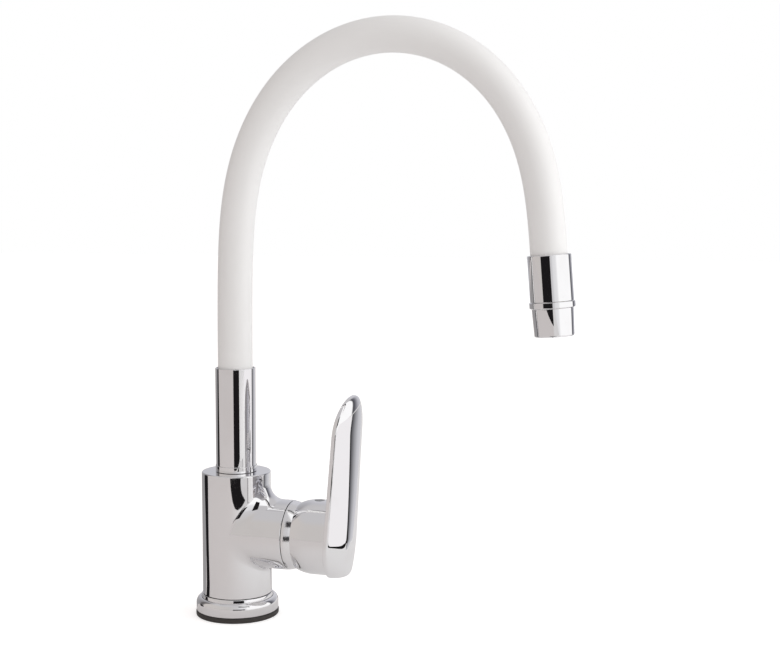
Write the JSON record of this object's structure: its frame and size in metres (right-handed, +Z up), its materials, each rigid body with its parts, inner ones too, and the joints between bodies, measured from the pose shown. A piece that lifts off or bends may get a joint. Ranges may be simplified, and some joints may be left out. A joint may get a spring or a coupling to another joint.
{
  "type": "kitchen tap",
  "caption": "Single-lever kitchen tap with a bendable white hose arch, chrome spray head, side lever and round chrome body on a stepped foot ring",
  "frame": {"origin": "on the axis of the upright body, in the plane of the deck the tap is bolted to", "axes": "+Z up along the body, +X the way the lever and the spout point at rest, +Y across; everything is symmetric about the XZ plane"},
  "size_m": [0.255, 0.0554, 0.3929],
  "materials": {
    "chrome": "polished",
    "white_silicone": "matte",
    "black_rubber": "matte",
    "raw_brass": "satin",
    "spring_steel": "satin",
    "white_plastic": "satin",
    "grey_plastic": "satin",
    "ceramic": "gloss",
    "clear_hose": "satin"
  },
  "bodies": {
    "base": {"base_gasket": "black_rubber", "base_ring": "chrome", "mixer_body": "chrome", "cartridge_base": "grey_plastic", "cartridge_housing": "grey_plastic", "hot_port_seal": "black_rubber", "cold_port_seal": "black_rubber", "outlet_port_seal": "black_rubber", "fixed_disc": "ceramic", "retaining_nut": "raw_brass", "trim_dome": "chrome", "spout_lock_screw": "spring_steel"},
    "cartridge_core": {"cartridge_rotor": "white_plastic", "lift_pin": "spring_steel"},
    "disc_slide": {"moving_disc": "ceramic", "disc_carrier": "white_plastic"},
    "handle": {"lever_handle": "chrome", "cartridge_stem": "raw_brass", "lever_grub_screw": "spring_steel", "index_button": "grey_plastic"},
    "spout": {"spout_adapter": "raw_brass", "lower_o_ring": "black_rubber", "upper_o_ring": "black_rubber", "glide_ring": "white_plastic", "neck_sleeve": "chrome", "hose_sleeve_1": "white_silicone", "gooseneck_1": "spring_steel", "water_hose_1": "clear_hose"},
    "arch_link_1": {"hose_sleeve_2": "white_silicone", "gooseneck_2": "spring_steel", "water_hose_2": "clear_hose"},
    "arch_link_2": {"hose_sleeve_3": "white_silicone", "gooseneck_3": "spring_steel", "water_hose_3": "clear_hose"},
    "arch_link_3": {"hose_sleeve_4": "white_silicone", "gooseneck_4": "spring_steel", "water_hose_4": "clear_hose"},
    "arch_link_4": {"hose_sleeve_5": "white_silicone", "gooseneck_5": "spring_steel", "water_hose_5": "clear_hose"},
    "arch_link_5": {"hose_sleeve_6": "white_silicone", "gooseneck_6": "spring_steel", "water_hose_6": "clear_hose"},
    "head": {"hose_sleeve_7": "white_silicone", "gooseneck_7": "spring_steel", "water_hose_7": "clear_hose", "head_ferrule": "chrome", "head_adapter": "raw_brass", "nozzle_o_ring": "black_rubber"},
    "nozzle": {"selector_ring": "chrome", "nozzle_shell": "chrome", "diverter_disc": "grey_plastic", "aerator_body": "white_plastic", "aerator_screen": "spring_steel", "flow_straightener": "white_plastic"}
  },
  "joints": [
    {"name": "handle_turn", "type": "hinge", "parent": "base", "child": "cartridge_core", "pos_m": [0.036, 0, 0.056], "axis": [1, 0, 0], "range_deg": [-45, 45]},
    {"name": "handle_lift", "type": "hinge", "parent": "cartridge_core", "child": "handle", "pos_m": [0.036, 0, 0.056], "axis": [0, 1, 0], "range_deg": [0, 25]},
    {"name": "disc_slide", "type": "slide", "parent": "cartridge_core", "child": "disc_slide", "axis": [0, 0, 1], "range_m": [0, 0.0055]},
    {"name": "spout_swivel", "type": "hinge", "parent": "base", "child": "spout", "pos_m": [0, 0, 0.0969], "axis": [0, 0, 1], "continuous": true},
    {"name": "arch_bend_1", "type": "hinge", "parent": "spout", "child": "arch_link_1", "pos_m": [0.00067, 0, 0.23244], "axis": [0, 1, 0], "range_deg": [-18, 12]},
    {"name": "arch_sway_2", "type": "hinge", "parent": "arch_link_1", "child": "arch_link_2", "pos_m": [0.00877, 0, 0.2979], "axis": [0.9613, 0, -0.2755], "range_deg": [-15, 15]},
    {"name": "arch_bend_3", "type": "hinge", "parent": "arch_link_2", "child": "arch_link_3", "pos_m": [0.04177, 0, 0.35432], "axis": [0, 1, 0], "range_deg": [-18, 12]},
    {"name": "arch_sway_4", "type": "hinge", "parent": "arch_link_3", "child": "arch_link_4", "pos_m": [0.10083, 0, 0.38108], "axis": [0.0694, 0, -0.9976], "range_deg": [-15, 15]},
    {"name": "arch_bend_5", "type": "hinge", "parent": "arch_link_4", "child": "arch_link_5", "pos_m": [0.16273, 0, 0.36217], "axis": [0, 1, 0], "range_deg": [-18, 12]},
    {"name": "arch_sway_6", "type": "hinge", "parent": "arch_link_5", "child": "head", "pos_m": [0.19995, 0, 0.30866], "axis": [-0.9468, 0, -0.3217], "range_deg": [-15, 15]},
    {"name": "nozzle_twist", "type": "hinge", "parent": "head", "child": "nozzle", "pos_m": [0.21056, 0, 0.24356], "axis": [0.0785, 0, -0.9969], "range_deg": [0, 90]}
  ],
  "couplings": [
    {"joint": "disc_slide", "follows": "handle_lift", "m_per_rad": 0.012},
    {"joint": "arch_bend_3", "follows": "arch_bend_1", "ratio": 1},
    {"joint": "arch_bend_5", "follows": "arch_bend_1", "ratio": 1},
    {"joint": "arch_sway_4", "follows": "arch_sway_2", "ratio": 1},
    {"joint": "arch_sway_6", "follows": "arch_sway_2", "ratio": 1}
  ]
}
